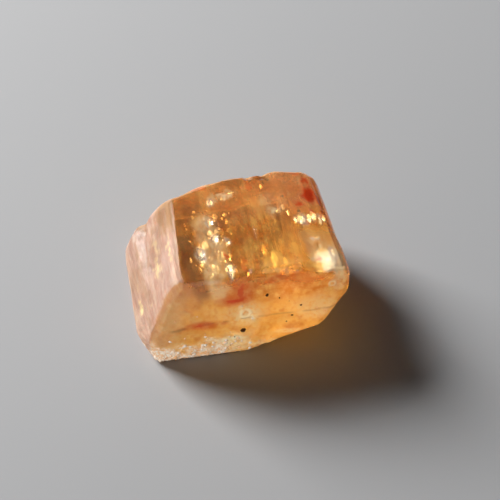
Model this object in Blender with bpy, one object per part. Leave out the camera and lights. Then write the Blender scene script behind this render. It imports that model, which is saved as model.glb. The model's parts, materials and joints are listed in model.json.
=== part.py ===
"""A loose, broken crystal of amber topaz lying on one of its flat prism faces.

The crystal is one solid. Its long prism direction runs along Y, its widest
measure runs along X, and it stands on the plane Z = 0. All sizes below are in
millimetres and are turned into metres at the end.
"""

import math
from typing import NamedTuple

import bmesh
import bpy
from mathutils import Vector, noise

# Overall sizes
HEIGHT = 5.2
BLOCK = 14.0
METRES_PER_MILLIMETRE = 0.001

# Worn edges
EDGE_WEAR_WIDTHS = (0.42, 0.20)
REST_WEAR_SHARE = 0.45
SHARP_ANGLE = math.radians(17.0)

# Spacing of the mesh that carries the relief
STRIP_WIDTH = 0.22
STRIP_LENGTH = 0.50
STRIP_RISE = 0.38
CLEARANCE = 0.02

# Relief of the natural surface
STRIATION_DEPTH = 0.045
WEATHERING_DEPTH = 0.05
LEDGE_RISE = 0.09
LEFT_LEDGE_RISE = 0.30
LEFT_LEDGE_HEIGHT = 3.1
GRAIN_DEPTH = 0.09
GRAIN_TOP = 1.3
END_WAVE_DEPTH = 0.09
END_RIB_DEPTH = 0.010
SCOOP_DEPTH = 0.10
SCOOP_RADIUS = 0.75
PIT_DEPTH = 0.16


class Face(NamedTuple):
    """A flat natural face: its outward compass angle, its lift above level and a point on it."""

    name: str
    compass: float
    lift: float
    point: tuple[float, float, float]


FACES = (
    Face("top_prism", 0.0, 90.0, (0.0, 0.0, HEIGHT)),
    Face("left_prism", 174.0, 34.3, (-3.16, 0.0, HEIGHT)),
    Face("left_lower", 178.0, 21.0, (-4.61, 0.0, 3.1)),
    Face("left_foot", 163.0, -40.0, (-5.50, 0.30, 1.35)),
    Face("left_front", 207.0, -8.0, (-5.14, -2.64, 0.4)),
    Face("right_upper", 1.0, 76.0, (2.55, 0.0, HEIGHT)),
    Face("right_edge", 3.5, -8.0, (4.83, 0.0, 4.4)),
    Face("right_under", -2.0, -36.0, (4.40, 0.0, 2.35)),
    Face("right_foot", -20.0, -70.0, (2.70, -3.30, 0.80)),
    Face("front_upper", 267.5, 2.0, (0.30, -3.37, 3.8)),
    Face("front_lower", 268.0, 12.0, (0.00, -3.43, 2.4)),
    Face("rear", 90.0, 3.0, (0.00, 3.60, 5.0)),
    Face("rear_left", 105.0, 27.4, (-2.74, 2.92, 5.05)),
    Face("rear_left_low", 115.0, 5.0, (-4.70, 2.92, 2.8)),
    Face("rear_right", 50.0, 6.0, (4.45, 3.22, 4.8)),
    Face("rest", 0.0, -90.0, (0.0, 0.0, 0.0)),
)

# Small pits along the rear edge and on the top, as centre and radius
PITS = (
    (Vector((1.95, 3.30, 5.15)), 0.34),
    (Vector((1.15, 3.32, 5.15)), 0.26),
    (Vector((-4.35, 2.55, 3.05)), 0.42),
)

SCOOP_CENTRE = Vector((-0.45, -3.36, 2.75))


def direction(compass: float, lift: float) -> Vector:
    """Returns the unit vector at a compass angle from +X and a lift above level, both in degrees."""
    turn = math.radians(compass)
    rise = math.radians(lift)
    return Vector((math.cos(turn) * math.cos(rise), math.sin(turn) * math.cos(rise), math.sin(rise)))


def ramp(value: float, start: float, end: float) -> float:
    """Returns 0 below start, 1 above end and a smooth rise between them."""
    share = min(max((value - start) / (end - start), 0.0), 1.0)
    return share * share * (3.0 - 2.0 * share)


def clear_scene() -> None:
    """Removes every object of the scene."""
    for old in list(bpy.data.objects):
        bpy.data.objects.remove(old, do_unlink=True)


def trim(mesh: bmesh.types.BMesh, point: Vector, outward: Vector) -> None:
    """Cuts away everything on the outer side of a plane and closes the cut."""
    geometry = mesh.verts[:] + mesh.edges[:] + mesh.faces[:]
    cut = bmesh.ops.bisect_plane(
        mesh,
        geom=geometry,
        dist=0.0001,
        plane_co=point,
        plane_no=outward,
        clear_outer=True,
    )
    rim = [item for item in cut["geom_cut"] if isinstance(item, bmesh.types.BMEdge)]
    if rim:
        bmesh.ops.holes_fill(mesh, edges=rim, sides=0)


def cut_natural_faces(mesh: bmesh.types.BMesh) -> None:
    """Trims a block to the crystal's faces, one plane at a time."""
    for face in FACES:
        trim(mesh, Vector(face.point), direction(face.compass, face.lift))
    bmesh.ops.recalc_face_normals(mesh, faces=mesh.faces[:])


def wear_edges(mesh: bmesh.types.BMesh) -> None:
    """Rounds the edges by narrow flats, wide first and then narrower along their borders."""
    for width in EDGE_WEAR_WIDTHS:
        mesh.normal_update()
        flats = []
        for edge in mesh.edges:
            angle = edge.calc_face_angle(0.0)
            if angle < SHARP_ANGLE:
                continue
            outward = (edge.link_faces[0].normal + edge.link_faces[1].normal).normalized()
            middle = (edge.verts[0].co + edge.verts[1].co) / 2.0
            touches_rest = min(face.normal.z for face in edge.link_faces) < -0.98
            local_width = width * (1.0 + 0.45 * noise.noise(middle * 0.9))
            if touches_rest:
                local_width *= REST_WEAR_SHARE
            depth = 0.5 * local_width * math.tan(angle / 2.0)
            flats.append((middle - outward * depth, outward))
        for point, outward in flats:
            trim(mesh, point, outward)


def slice_into_strips(mesh: bmesh.types.BMesh, axis: Vector, reach: float, step: float) -> None:
    """Cuts the surface, except the flat rest face, by parallel planes that are one step apart."""
    count = int(reach / step)
    for index in range(-count, count + 1):
        faces = [face for face in mesh.faces if face.normal.z > -0.98]
        edges = {edge for face in faces for edge in face.edges}
        verts = {vert for face in faces for vert in face.verts}
        bmesh.ops.bisect_plane(
            mesh,
            geom=list(verts) + list(edges) + faces,
            dist=CLEARANCE,
            plane_co=axis * (index * step),
            plane_no=axis,
        )


def striations(place: Vector, outward: Vector) -> float:
    """Returns the fine grooves that run along the prism, and fade on the broken ends."""
    across = Vector((place.x * 2.6, place.y * 0.10, place.z * 2.6))
    fine = Vector((place.x * 5.5, place.y * 0.22, place.z * 5.5))
    depth = 0.7 * noise.noise(across) + 0.5 * noise.noise(fine)
    return STRIATION_DEPTH * depth * (1.0 - ramp(abs(outward.y), 0.25, 0.7))


def ledges(place: Vector, outward: Vector) -> float:
    """Returns the growth steps: the top is higher to the right, and the lower left stands out to the rear."""
    wander = 0.18 * noise.noise(Vector((place.y * 0.7, 3.1, 0.0)))
    first = ramp(place.x + wander, -1.05, -0.85)
    second = ramp(place.x - 0.28 * place.y + wander, 0.72, 0.98)
    top = LEDGE_RISE * (0.45 * first + 0.55 * second - 0.8) * ramp(outward.z, 0.85, 0.97)
    low = ramp(LEFT_LEDGE_HEIGHT - place.z + wander, -0.10, 0.10)
    left_rise = LEFT_LEDGE_RISE * ramp(place.y, -3.0, 2.6)
    left = left_rise * (low - 0.15) * ramp(-outward.x, 0.55, 0.8)
    return top + left


def grain(place: Vector, outward: Vector) -> float:
    """Returns the sugary, granular foot of the broken front face."""
    share = ramp(-outward.y, 0.3, 0.7) * (1.0 - ramp(place.z, 0.6, GRAIN_TOP)) * (1.0 - ramp(place.x, 0.6, 1.8))
    return GRAIN_DEPTH * noise.noise(place * 3.4) * share


def hollows(place: Vector) -> float:
    """Returns the shell-shaped scoop of the front face and the pits on the rear and left edges."""
    away = (place - SCOOP_CENTRE).length / SCOOP_RADIUS
    depth = SCOOP_DEPTH * (1.0 - ramp(away, 0.35, 1.0))
    for centre, radius in PITS:
        depth += PIT_DEPTH * (1.0 - ramp((place - centre).length / radius, 0.3, 1.2))
    return -depth


def front_steps(place: Vector, outward: Vector) -> float:
    """Returns the uneven break of the two ends: long low waves with a few curved ribs."""
    share = ramp(abs(outward.y), 0.5, 0.85)
    wave = noise.noise(Vector((place.x * 0.50, 9.0, place.z * 0.8)))
    rib = math.sin(3.4 * (Vector((place.x - 2.5, 0.0, place.z - 6.0)).length))
    return share * (END_WAVE_DEPTH * wave + END_RIB_DEPTH * rib)


def weather_surface(mesh: bmesh.types.BMesh) -> None:
    """Moves every point above the rest face in or out by the natural relief."""
    mesh.normal_update()
    moves = []
    for vert in mesh.verts:
        place = vert.co.copy()
        outward = vert.normal.copy()
        rest_fade = ramp(place.z, 0.02, 0.35)
        relief = WEATHERING_DEPTH * noise.noise(place * 0.85)
        relief += striations(place, outward)
        relief += ledges(place, outward)
        relief += grain(place, outward)
        relief += front_steps(place, outward)
        relief += hollows(place)
        moves.append((vert, place + outward * (relief * rest_fade)))
    for vert, moved in moves:
        vert.co = moved


def centre_on_base(mesh: bmesh.types.BMesh) -> None:
    """Puts the middle of the crystal's outline on the origin, with the rest face at Z = 0."""
    low_x = min(vert.co.x for vert in mesh.verts)
    high_x = max(vert.co.x for vert in mesh.verts)
    low_y = min(vert.co.y for vert in mesh.verts)
    high_y = max(vert.co.y for vert in mesh.verts)
    shift = Vector((-(low_x + high_x) / 2.0, -(low_y + high_y) / 2.0, 0.0))
    bmesh.ops.translate(mesh, vec=shift, verts=mesh.verts[:])


def topaz_material() -> bpy.types.Material:
    """Returns the clear amber material of the crystal."""
    material = bpy.data.materials.new("amber_topaz")
    material.use_nodes = True
    shader = material.node_tree.nodes["Principled BSDF"]
    shader.inputs["Base Color"].default_value = (0.60, 0.24, 0.055, 1.0)
    shader.inputs["Roughness"].default_value = 0.22
    shader.inputs["Metallic"].default_value = 0.0
    shader.inputs["IOR"].default_value = 1.62
    shader.inputs["Transmission Weight"].default_value = 0.9
    material.diffuse_color = (0.60, 0.24, 0.055, 1.0)
    return material


def build_crystal(collection: bpy.types.Collection) -> bpy.types.Object:
    """Makes the crystal and links it to the collection."""
    mesh = bmesh.new()
    bmesh.ops.create_cube(mesh, size=BLOCK)
    bmesh.ops.translate(mesh, vec=Vector((0.0, 0.0, HEIGHT / 2.0)), verts=mesh.verts[:])
    cut_natural_faces(mesh)
    wear_edges(mesh)
    slice_into_strips(mesh, Vector((1.0, 0.0, 0.0)), 6.0, STRIP_WIDTH)
    slice_into_strips(mesh, Vector((0.0, 1.0, 0.0)), 4.2, STRIP_LENGTH)
    slice_into_strips(mesh, Vector((0.0, 0.0, 1.0)), 5.6, STRIP_RISE)
    bmesh.ops.triangulate(mesh, faces=[face for face in mesh.faces if face.normal.z > -0.98])
    weather_surface(mesh)
    centre_on_base(mesh)
    bmesh.ops.scale(mesh, vec=Vector((1.0, 1.0, 1.0)) * METRES_PER_MILLIMETRE, verts=mesh.verts[:])
    data = bpy.data.meshes.new("topaz_crystal")
    mesh.to_mesh(data)
    mesh.free()
    data.shade_smooth()
    data.set_sharp_from_angle(angle=math.radians(24.0))
    data.materials.append(topaz_material())
    crystal = bpy.data.objects.new("topaz_crystal", data)
    collection.objects.link(crystal)
    return crystal


def main() -> None:
    """Builds the crystal in a collection of its own."""
    clear_scene()
    collection = bpy.data.collections.new("topaz_crystal")
    bpy.context.scene.collection.children.link(collection)
    build_crystal(collection)


if __name__ == "__main__":
    main()
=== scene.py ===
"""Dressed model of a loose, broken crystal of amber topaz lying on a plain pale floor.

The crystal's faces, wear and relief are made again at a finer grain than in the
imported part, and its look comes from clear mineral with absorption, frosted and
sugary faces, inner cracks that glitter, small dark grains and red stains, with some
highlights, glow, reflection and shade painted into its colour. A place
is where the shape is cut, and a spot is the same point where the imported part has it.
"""

import json
import logging
import math
import random
from dataclasses import dataclass, field
from enum import Enum

import bmesh
import bpy
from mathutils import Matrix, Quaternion, Vector
from mathutils.bvhtree import BVHTree
from mathutils.noise import noise

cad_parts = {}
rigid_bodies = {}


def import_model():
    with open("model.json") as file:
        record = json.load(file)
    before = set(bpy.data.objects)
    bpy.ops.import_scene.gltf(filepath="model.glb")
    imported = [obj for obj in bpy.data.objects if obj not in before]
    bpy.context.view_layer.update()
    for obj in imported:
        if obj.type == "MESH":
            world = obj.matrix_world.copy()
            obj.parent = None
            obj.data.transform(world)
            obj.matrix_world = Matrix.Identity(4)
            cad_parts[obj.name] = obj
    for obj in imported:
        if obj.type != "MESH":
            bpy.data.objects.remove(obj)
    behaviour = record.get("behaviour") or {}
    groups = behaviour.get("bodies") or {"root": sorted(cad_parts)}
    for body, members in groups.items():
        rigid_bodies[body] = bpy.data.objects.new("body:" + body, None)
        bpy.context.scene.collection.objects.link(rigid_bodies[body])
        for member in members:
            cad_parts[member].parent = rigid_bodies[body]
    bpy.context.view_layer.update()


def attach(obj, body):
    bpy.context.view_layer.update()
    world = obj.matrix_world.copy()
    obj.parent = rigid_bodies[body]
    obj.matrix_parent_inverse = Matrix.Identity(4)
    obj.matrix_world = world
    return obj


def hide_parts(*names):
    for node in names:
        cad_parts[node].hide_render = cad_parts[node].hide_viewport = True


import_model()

logging.basicConfig(level=logging.INFO, format="%(name)s: %(message)s")
LOG = logging.getLogger("topaz")

# A colour, a place, a place with a radius, and a glint's x, y, depth, half width and half length.
Rgba = tuple[float, float, float, float]
Triple = tuple[float, float, float]
Knob = tuple[float, float, float, float]
Glint = tuple[float, float, float, float, float]
BMesh = bmesh.types.BMesh
Socket = bpy.types.NodeSocket

MM = 0.001
NODE = "topaz_crystal"
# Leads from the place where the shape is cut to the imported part's place, in millimetres.
SHIFT = Vector((0.2898, -0.1237, 0.0))
# The mineral's refractive index.
INDEX = 1.62
# The face that the crystal rests on points down further than this.
DOWN = -0.98


def ramp(value: float, start: float, end: float) -> float:
    """Rise smoothly from 0 at the start to 1 at the end, and stay level beyond them."""
    share = min(max((value - start) / (end - start), 0.0), 1.0)
    return share * share * (3.0 - 2.0 * share)


def stretched_noise(place: Vector, x: float, y: float, z: float) -> float:
    """Give a smooth random height, from about -1 to 1, that turns as often as x, y and z say."""
    return noise(Vector((place.x * x, place.y * y, place.z * z)))


def direction(compass: float, lift: float) -> Vector:
    """Point along a compass angle and a lift.

    Args:
        compass: Angle from +X towards +Y, in degrees.
        lift: Angle above level, in degrees.

    Returns:
        The unit vector.
    """
    turn = math.radians(compass)
    rise = math.radians(lift)
    return Vector((math.cos(turn) * math.cos(rise), math.sin(turn) * math.cos(rise), math.sin(rise)))


def bend(ray: Vector, outward: Vector) -> Vector:
    """Give the direction inside the crystal of a ray that leaves it by a face that points outward."""
    along = (ray - outward * ray.dot(outward)) / INDEX
    return along + outward * math.sqrt(1.0 - along.length_squared)


ORIGIN = Vector((0.0, 0.0, 0.0))
TOP = Vector((0.0, 0.0, 1.0))
CAMERA_SIDE = direction(258.0, 50.0)
KEY_SIDE = direction(130.0, 30.0)
RIGHT_SLOPE = direction(1.0, 76.0)
FRONT = direction(267.5, 6.0)


class Zone(Enum):
    """Names of the surface zones that the crystal's material reads as attributes."""

    FROST = "frost"
    SUGAR = "sugar"
    BREAK = "break"
    STAIN = "stain"
    # Darker brown: painted shade in the band beside the left ridge, darker brown patches, the dark line of
    # the front break, and darker patches and lines on the frosted left side.
    SHADE = "shade"
    # Golden towards the right front and around the glittering cracks of the top: partly the crystal's tone,
    # partly painted light where light that passes through the crystal leaves it and where the cracks
    # glitter.
    GOLD_AND_PAINTED_LIGHT = "gold"
    # Painted reflection: pinkish towards the right rear, for the sky reflected there and the rear face seen
    # through the top.
    PAINTED_REFLECTION = "rose"
    # Painted glow: a paler yellow tint where highlights, glints and light coming back through the crystal
    # are seen, and pale flecks on the frosted left side.
    PAINTED_GLOW_AND_FLECKS = "veil"
    EMBER = "ember"
    # Painted highlights: pale, hazy patches that the lamps light up where the big highlight, glint halos
    # and sparkles are seen; also the pale line of each ring crack.
    PAINTED_HIGHLIGHT_AND_RING = "cream"
    WEAR = "wear"
    PANE = "pane"


@dataclass
class Wiring:
    """Adds and joins the nodes of one material."""

    material: bpy.types.Material

    @classmethod
    def start(cls, name: str) -> "Wiring":
        """Start a new material.

        Args:
            name: Its name.

        Returns:
            Its wiring.
        """
        material = bpy.data.materials.new(name)
        material.use_nodes = True
        return cls(material)

    def feed(self, socket: Socket, value: object) -> None:
        """Link a socket to another socket, or set its own value.

        Args:
            socket: The input to feed.
            value: An output socket, or a number or colour.
        """
        if isinstance(value, Socket):
            self.material.node_tree.links.new(value, socket)
        else:
            socket.default_value = value

    def add(self, kind: str, inputs: dict[str | int, object], **settings: object) -> bpy.types.Node:
        """Add a node.

        Args:
            kind: The node's type.
            inputs: What feeds each input, by its name or number.
            settings: The node's own settings.

        Returns:
            The new node.
        """
        node = self.material.node_tree.nodes.new(kind)
        for name, value in settings.items():
            setattr(node, name, value)
        for name, value in inputs.items():
            self.feed(node.inputs[name], value)
        return node

    def noise(self, scale: Triple, detail: float = 2.0, roughness: float = 0.5) -> Socket:
        """Give a noise value over the object, around one half.

        Args:
            scale: How often the noise turns per millimetre along each axis.
            detail: The number of finer layers.
            roughness: The strength of the finer layers.

        Returns:
            The value's socket.
        """
        place = self.add("ShaderNodeTexCoord", {}).outputs["Object"]
        stretched = tuple(value / MM for value in scale)
        place = self.add("ShaderNodeMapping", {"Vector": place, "Scale": stretched}).outputs["Vector"]
        inputs = {"Vector": place, "Scale": 1.0, "Detail": detail, "Roughness": roughness}
        return self.add("ShaderNodeTexNoise", inputs).outputs["Fac"]

    def maths(self, operation: str, first: object, second: object) -> Socket:
        """Combine two values by the named operation."""
        return self.add("ShaderNodeMath", {0: first, 1: second}, operation=operation).outputs["Value"]

    def zone(self, zone: Zone, times: object = None) -> Socket:
        """Give a surface zone's share, from 0 to 1, times another value if there is one."""
        share = self.add("ShaderNodeAttribute", {}, attribute_name=zone.value).outputs["Fac"]
        return share if times is None else self.maths("MULTIPLY", share, times)

    def span(
        self, value: object, low: float, high: float, to_low: float = 0.0, to_high: float = 1.0
    ) -> Socket:
        """Map a value from the range of low and high to that of to_low and to_high, and keep it inside."""
        inputs = {"Value": value, "From Min": low, "From Max": high, "To Min": to_low, "To Max": to_high}
        return self.add("ShaderNodeMapRange", inputs).outputs["Result"]

    def blend(self, share: object, first: object, second: object) -> Socket:
        """Mix two colours, with the share of the second one."""
        node = self.add("ShaderNodeMix", {"Factor": share, "A": first, "B": second}, data_type="RGBA")
        return node.outputs["Result"]

    def finish(self, inputs: dict[str, object]) -> bpy.types.Material:
        """Feed the main shader.

        Args:
            inputs: What feeds each named input.

        Returns:
            The finished material.
        """
        shader = self.material.node_tree.nodes["Principled BSDF"]
        for name, value in inputs.items():
            self.feed(shader.inputs[name], value)
        return self.material


def put_in_scene(name: str, data: bpy.types.ID) -> bpy.types.Object:
    """Make an object of a mesh, a light or a camera, and put it in the scene.

    Args:
        name: The object's name.
        data: The mesh, light or camera.

    Returns:
        The object.
    """
    item = bpy.data.objects.new(name, data)
    bpy.context.scene.collection.objects.link(item)
    return item


def mesh_data(mesh: BMesh, name: str) -> bpy.types.Mesh:
    """Turn a mesh that is being modelled into mesh data, and free it.

    Args:
        mesh: The mesh.
        name: The name of its data.

    Returns:
        The new data.
    """
    data = bpy.data.meshes.new(name)
    mesh.to_mesh(data)
    mesh.free()
    return data


@dataclass(frozen=True)
class NaturalFace:
    """A flat natural face of the crystal, as an outward direction and a point in millimetres."""

    name: str
    compass: float
    lift: float
    point: Triple


@dataclass(frozen=True)
class Patch:
    """A soft-edged patch on the surface, in millimetres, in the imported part's place."""

    centre: Triple
    wide: float
    deep: float
    strength: float

    def share(self, spot: Vector) -> float:
        """Give the patch's strength in its middle and less towards its rim.

        Args:
            spot: The point to look at.

        Returns:
            A share from 0 to the patch's strength.
        """
        away = spot - Vector(self.centre)
        reach = math.sqrt((away.x / self.wide) ** 2 + (away.y / self.deep) ** 2 + (away.z / self.deep) ** 2)
        return self.strength * (1.0 - ramp(reach, 0.55, 1.35))


def patch_rows(*rows: tuple[float, ...]) -> tuple[Patch, ...]:
    """Make patches of rows with x, y, z, half width, half length and strength."""
    return tuple(Patch(row[:3], *row[3:]) for row in rows)


@dataclass
class SurfaceMarks:
    """Red stains, darker brown patches, painted shade, highlights and glow, clear spots, lines and rings on
    the crystal.
    """

    ragged: float = 0.22
    stains: tuple[Patch, ...] = patch_rows(
        (4.2, 1.74, 4.85, 0.44, 0.56, 1.0), (4.62, 1.35, 4.75, 0.2, 0.4, 0.8),
        (4.18, 2.66, 4.88, 0.2, 0.32, 0.9), (3.72, 3.15, 4.9, 0.34, 0.16, 0.6),
        (3.55, 1.1, 5.04, 0.26, 0.28, 0.9), (4.75, 0.6, 4.72, 0.14, 0.16, 0.7),
        (4.2, 0.5, 4.86, 0.12, 0.14, 0.7), (-0.65, -1.58, 5.13, 0.17, 0.2, 0.9),
        (1.35, 2.6, 5.18, 0.2, 0.3, 0.5), (-1.05, 3.0, 5.1, 0.35, 0.2, 0.5),
        (-0.2, -3.15, 4.25, 0.26, 0.62, 0.9), (-0.15, -3.15, 4.2, 0.65, 0.8, 0.55),
        (-0.6, -3.27, 3.74, 0.56, 0.17, 1.0), (-0.55, -3.27, 3.8, 0.95, 0.38, 0.6),
        (-2.35, -3.38, 2.38, 0.46, 0.14, 0.95), (-2.25, -3.38, 2.42, 0.9, 0.3, 0.6),
        (1.4, 3.6, 3.1, 0.6, 0.25, 0.6), (-1.6, 3.6, 1.6, 0.35, 0.5, 0.5),
        (-1.6, -3.4, 2.45, 0.7, 0.16, 0.5), (1.65, -3.05, 4.66, 0.6, 0.38, 0.4),
        (3.8, -2.6, 4.98, 0.2, 0.22, 0.6), (0.02, -2.3, 5.14, 0.12, 0.5, 0.5),
        (2.35, -3.6, 1.55, 0.45, 0.25, 0.35),
    )
    # Darker brown patches on the top and the front.
    shades: tuple[Patch, ...] = patch_rows(
        (-1.75, 1.65, 5.13, 0.5, 0.45, 0.75), (-2.55, 1.2, 5.05, 0.2, 1.0, 0.5),
        (0.65, 3.0, 5.18, 0.65, 0.3, 0.6), (2.1, 3.0, 5.1, 0.45, 0.3, 0.6),
        (2.62, 0.3, 5.19, 0.36, 0.6, 0.75), (2.45, -0.9, 5.19, 0.26, 1.0, 0.6),
        (3.35, -1.2, 5.08, 0.16, 1.1, 0.4), (0.23, -0.45, 5.17, 0.17, 0.7, 0.5),
        (0.95, -2.1, 5.2, 0.2, 0.6, 0.35), (-3.55, -3.36, 2.2, 0.4, 0.12, 0.6),
    )
    # Painted glow: paler yellow patches around the glint cracks, the big highlight and the bright row on
    # the right slope, over the glittering cracks of the top, and on the lower front where light comes back
    # through from the floor.
    painted_glows: tuple[Patch, ...] = patch_rows(
        (2.3, 0.75, 5.2, 0.42, 0.38, 0.75), (2.1, 1.55, 5.2, 0.4, 0.4, 0.45),
        (0.4, 2.4, 5.18, 0.3, 0.2, 0.6), (-0.1, 2.12, 5.16, 0.3, 0.18, 0.6),
        (-0.65, 2.1, 5.16, 0.26, 0.4, 0.7), (-1.15, 0.5, 5.13, 0.55, 0.8, 0.4),
        (-1.3, -0.9, 5.12, 0.6, 0.9, 0.45), (-1.5, -2.3, 5.12, 0.5, 0.8, 0.55),
        (-1.25, -3.05, 4.5, 0.55, 0.45, 0.45), (3.8, 0.12, 5.02, 0.8, 0.22, 0.65),
        (4.45, -2.35, 4.85, 0.6, 0.75, 0.85), (4.6, -3.35, 3.9, 0.3, 0.35, 0.55),
        (-0.05, -3.4, 2.8, 0.95, 0.75, 0.8), (4.7, -2.6, 4.7, 0.45, 1.0, 1.0),
        (3.9, -2.0, 4.95, 0.6, 1.0, 0.55), (3.52, 0.08, 5.06, 0.36, 0.34, 0.9),
        (4.3, 0.1, 4.88, 0.5, 0.3, 0.7), (4.1, -2.5, 4.9, 0.42, 0.48, 1.0),
        (-0.72, 1.97, 5.13, 0.22, 0.28, 0.9), (-1.02, 0.73, 5.13, 0.24, 0.4, 0.9),
        (-0.98, -0.36, 5.13, 0.34, 0.45, 1.0), (-0.37, -0.73, 5.13, 0.2, 0.24, 0.9),
        (-1.85, -1.18, 5.13, 0.3, 0.5, 1.0), (-0.6, -2.5, 5.13, 0.3, 0.5, 1.0),
        (3.95, -1.2, 4.97, 0.3, 0.14, 0.7), (0.87, -3.61, 0.57, 0.7, 0.18, 0.8),
        (2.12, -3.64, 1.23, 0.8, 0.18, 0.8), (3.61, -3.68, 2.32, 0.6, 0.2, 0.8),
        (3.3, -3.64, 2.7, 1.0, 0.8, 0.6), (0.3, -3.52, 2.0, 0.25, 0.9, 0.35),
        (-0.7, -3.55, 1.0, 0.9, 0.7, 1.0),
    )
    rings: tuple[tuple[Triple, float], ...] = (
        ((-0.06, -3.36, 2.80), 0.25),
        ((4.25, -3.40, 4.05), 0.17),
    )
    panes: tuple[Patch, ...] = patch_rows(
        (4.0, -2.5, 4.93, 0.46, 0.46, 1.0), (4.45, -2.5, 4.83, 0.18, 0.74, 0.9),
        (4.2, -2.95, 4.8, 0.4, 0.22, 0.8), (3.52, 0.06, 5.06, 0.26, 0.28, 1.0),
        (3.2, 0.02, 5.1, 0.16, 0.18, 0.7), (3.88, 0.12, 4.98, 0.12, 0.28, 0.8),
        (4.12, 0.3, 4.93, 0.12, 0.28, 0.8), (4.36, 0.08, 4.86, 0.1, 0.3, 0.8),
        (4.6, 0.16, 4.8, 0.1, 0.24, 0.8), (3.95, -1.15, 4.97, 0.24, 0.08, 0.8),
        (-0.72, 1.97, 5.14, 0.18, 0.24, 0.9), (-1.02, 0.73, 5.13, 0.16, 0.28, 0.8),
        (-0.98, -0.36, 5.13, 0.24, 0.34, 1.0), (-0.37, -0.73, 5.13, 0.16, 0.18, 0.9),
        (-1.85, -1.18, 5.13, 0.2, 0.42, 1.0), (-0.6, -2.52, 5.12, 0.2, 0.4, 1.0),
        (0.18, -2.75, 5.12, 0.12, 0.16, 0.8),
    )
    # Painted highlights: pale, hazy patches for the glow of the big highlight on the right slope, soft
    # halos at glints and over the glittering cracks of the top, the pale chain of highlights near the rear,
    # and white sparkles on the front.
    painted_highlights: tuple[Patch, ...] = patch_rows(
        (4.68, -2.65, 4.7, 0.3, 0.7, 0.5), (-1.35, 0.35, 5.13, 0.6, 0.9, 0.2),
        (-1.3, -1.3, 5.13, 0.8, 1.2, 0.24), (-1.5, -2.6, 5.08, 0.6, 0.6, 0.26),
        (-1.35, -3.2, 4.4, 0.5, 0.6, 0.22), (-0.72, 1.97, 5.14, 0.1, 0.12, 0.4),
        (-1.85, -1.18, 5.13, 0.1, 0.2, 0.4), (-0.6, -2.52, 5.12, 0.1, 0.2, 0.4),
        (2.32, 0.78, 5.2, 0.24, 0.18, 0.5), (0.12, 2.25, 5.17, 0.4, 0.09, 0.5),
        (-0.28, -3.32, 3.3, 0.16, 0.14, 0.5), (0.24, -3.48, 2.52, 0.14, 0.16, 0.6),
        (-1.05, -3.54, 1.2, 0.14, 0.14, 0.7), (-0.5, -3.57, 1.25, 0.18, 0.16, 0.8),
        (0.12, -3.58, 0.75, 0.16, 0.12, 0.6),
    )
    embers: tuple[Patch, ...] = patch_rows(
        (-0.25, -3.1, 4.3, 0.8, 0.8, 0.9), (-2.1, -3.4, 2.35, 1.1, 0.34, 0.9),
        (1.7, -3.0, 4.6, 0.9, 0.5, 0.9), (2.3, -3.6, 1.6, 0.5, 0.3, 0.7),
    )
    # Darker patches on the frosted left side, and thin darker lines along the step between its two faces.
    left_dark_patches: tuple[Patch, ...] = patch_rows(
        (-3.0, 1.9, 4.7, 0.6, 1.3, 0.9), (-4.75, 0.2, 2.5, 0.35, 0.9, 0.35),
        (-3.8, 0.5, 3.9, 0.4, 1.0, 0.25), (-2.9, 2.07, 4.86, 0.35, 0.9, 0.9),
        (-3.25, 2.07, 4.21, 0.4, 0.6, 0.45), (-3.56, 1.82, 3.81, 0.3, 0.35, 0.55),
        (-3.12, 2.16, 4.38, 0.16, 0.3, 0.85), (-3.4, 1.6, 4.05, 0.1, 0.45, 0.75),
        (-3.92, 2.72, 3.17, 0.25, 0.35, 0.6), (-4.25, 0.76, 3.12, 0.1, 1.1, 0.4),
        (-4.5, -0.92, 2.94, 0.1, 1.0, 0.4), (-4.7, -2.6, 2.5, 0.12, 0.8, 0.35),
        (-3.3, -2.2, 4.3, 0.4, 0.6, 0.3), (-5.0, 0.3, 1.9, 0.2, 0.6, 0.35),
    )
    # Pale yellow flecks and streaks on the frosted left side; some of them, as the one low at the front
    # left, are painted glints.
    pale_flecks_and_glints: tuple[Patch, ...] = patch_rows(
        (-3.86, -0.59, 3.77, 0.14, 0.7, 0.9), (-3.7, 0.6, 3.95, 0.12, 0.6, 0.7),
        (-4.87, -1.41, 1.9, 0.16, 0.28, 1.0), (-4.76, -0.35, 2.32, 0.12, 0.3, 0.8),
        (-4.85, -0.9, 2.0, 0.1, 0.22, 0.8), (-3.95, -2.4, 3.35, 0.16, 0.5, 0.6),
        (-4.25, -2.0, 2.9, 0.1, 0.4, 0.6), (-3.2, -0.3, 4.75, 0.1, 0.9, 0.6),
    )

    def cover(self, spot: Vector, patches: tuple[Patch, ...]) -> float:
        """Give the strongest cover of a point by ragged patches.

        Args:
            spot: The point.
            patches: The patches.

        Returns:
            A share from 0 to 1.
        """
        ragged = Vector((noise(spot * 2.7), noise(spot * 2.7 + Vector((9.0, 0.0, 0.0))), 0.0))
        fine = Vector((noise(spot * 7.0), noise(spot * 7.0 + Vector((0.0, 9.0, 0.0))), 0.0))
        moved = spot + ragged * self.ragged + fine * (self.ragged * 0.5)
        return max(patch.share(moved) for patch in patches)

    def ring_at(self, spot: Vector) -> tuple[float, float]:
        """Say how a point lies to the ring-shaped cracks of the front.

        Args:
            spot: The point.

        Returns:
            The share on a ring's line, and the share inside a ring.
        """
        line = 0.0
        inside = 0.0
        for centre, radius in self.rings:
            reach = (spot - Vector(centre)).length / radius
            line = max(line, 1.0 - ramp(abs(reach - 1.0), 0.12, 0.42))
            inside = max(inside, 1.0 - ramp(reach, 0.55, 0.85))
        return line, inside

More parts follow.
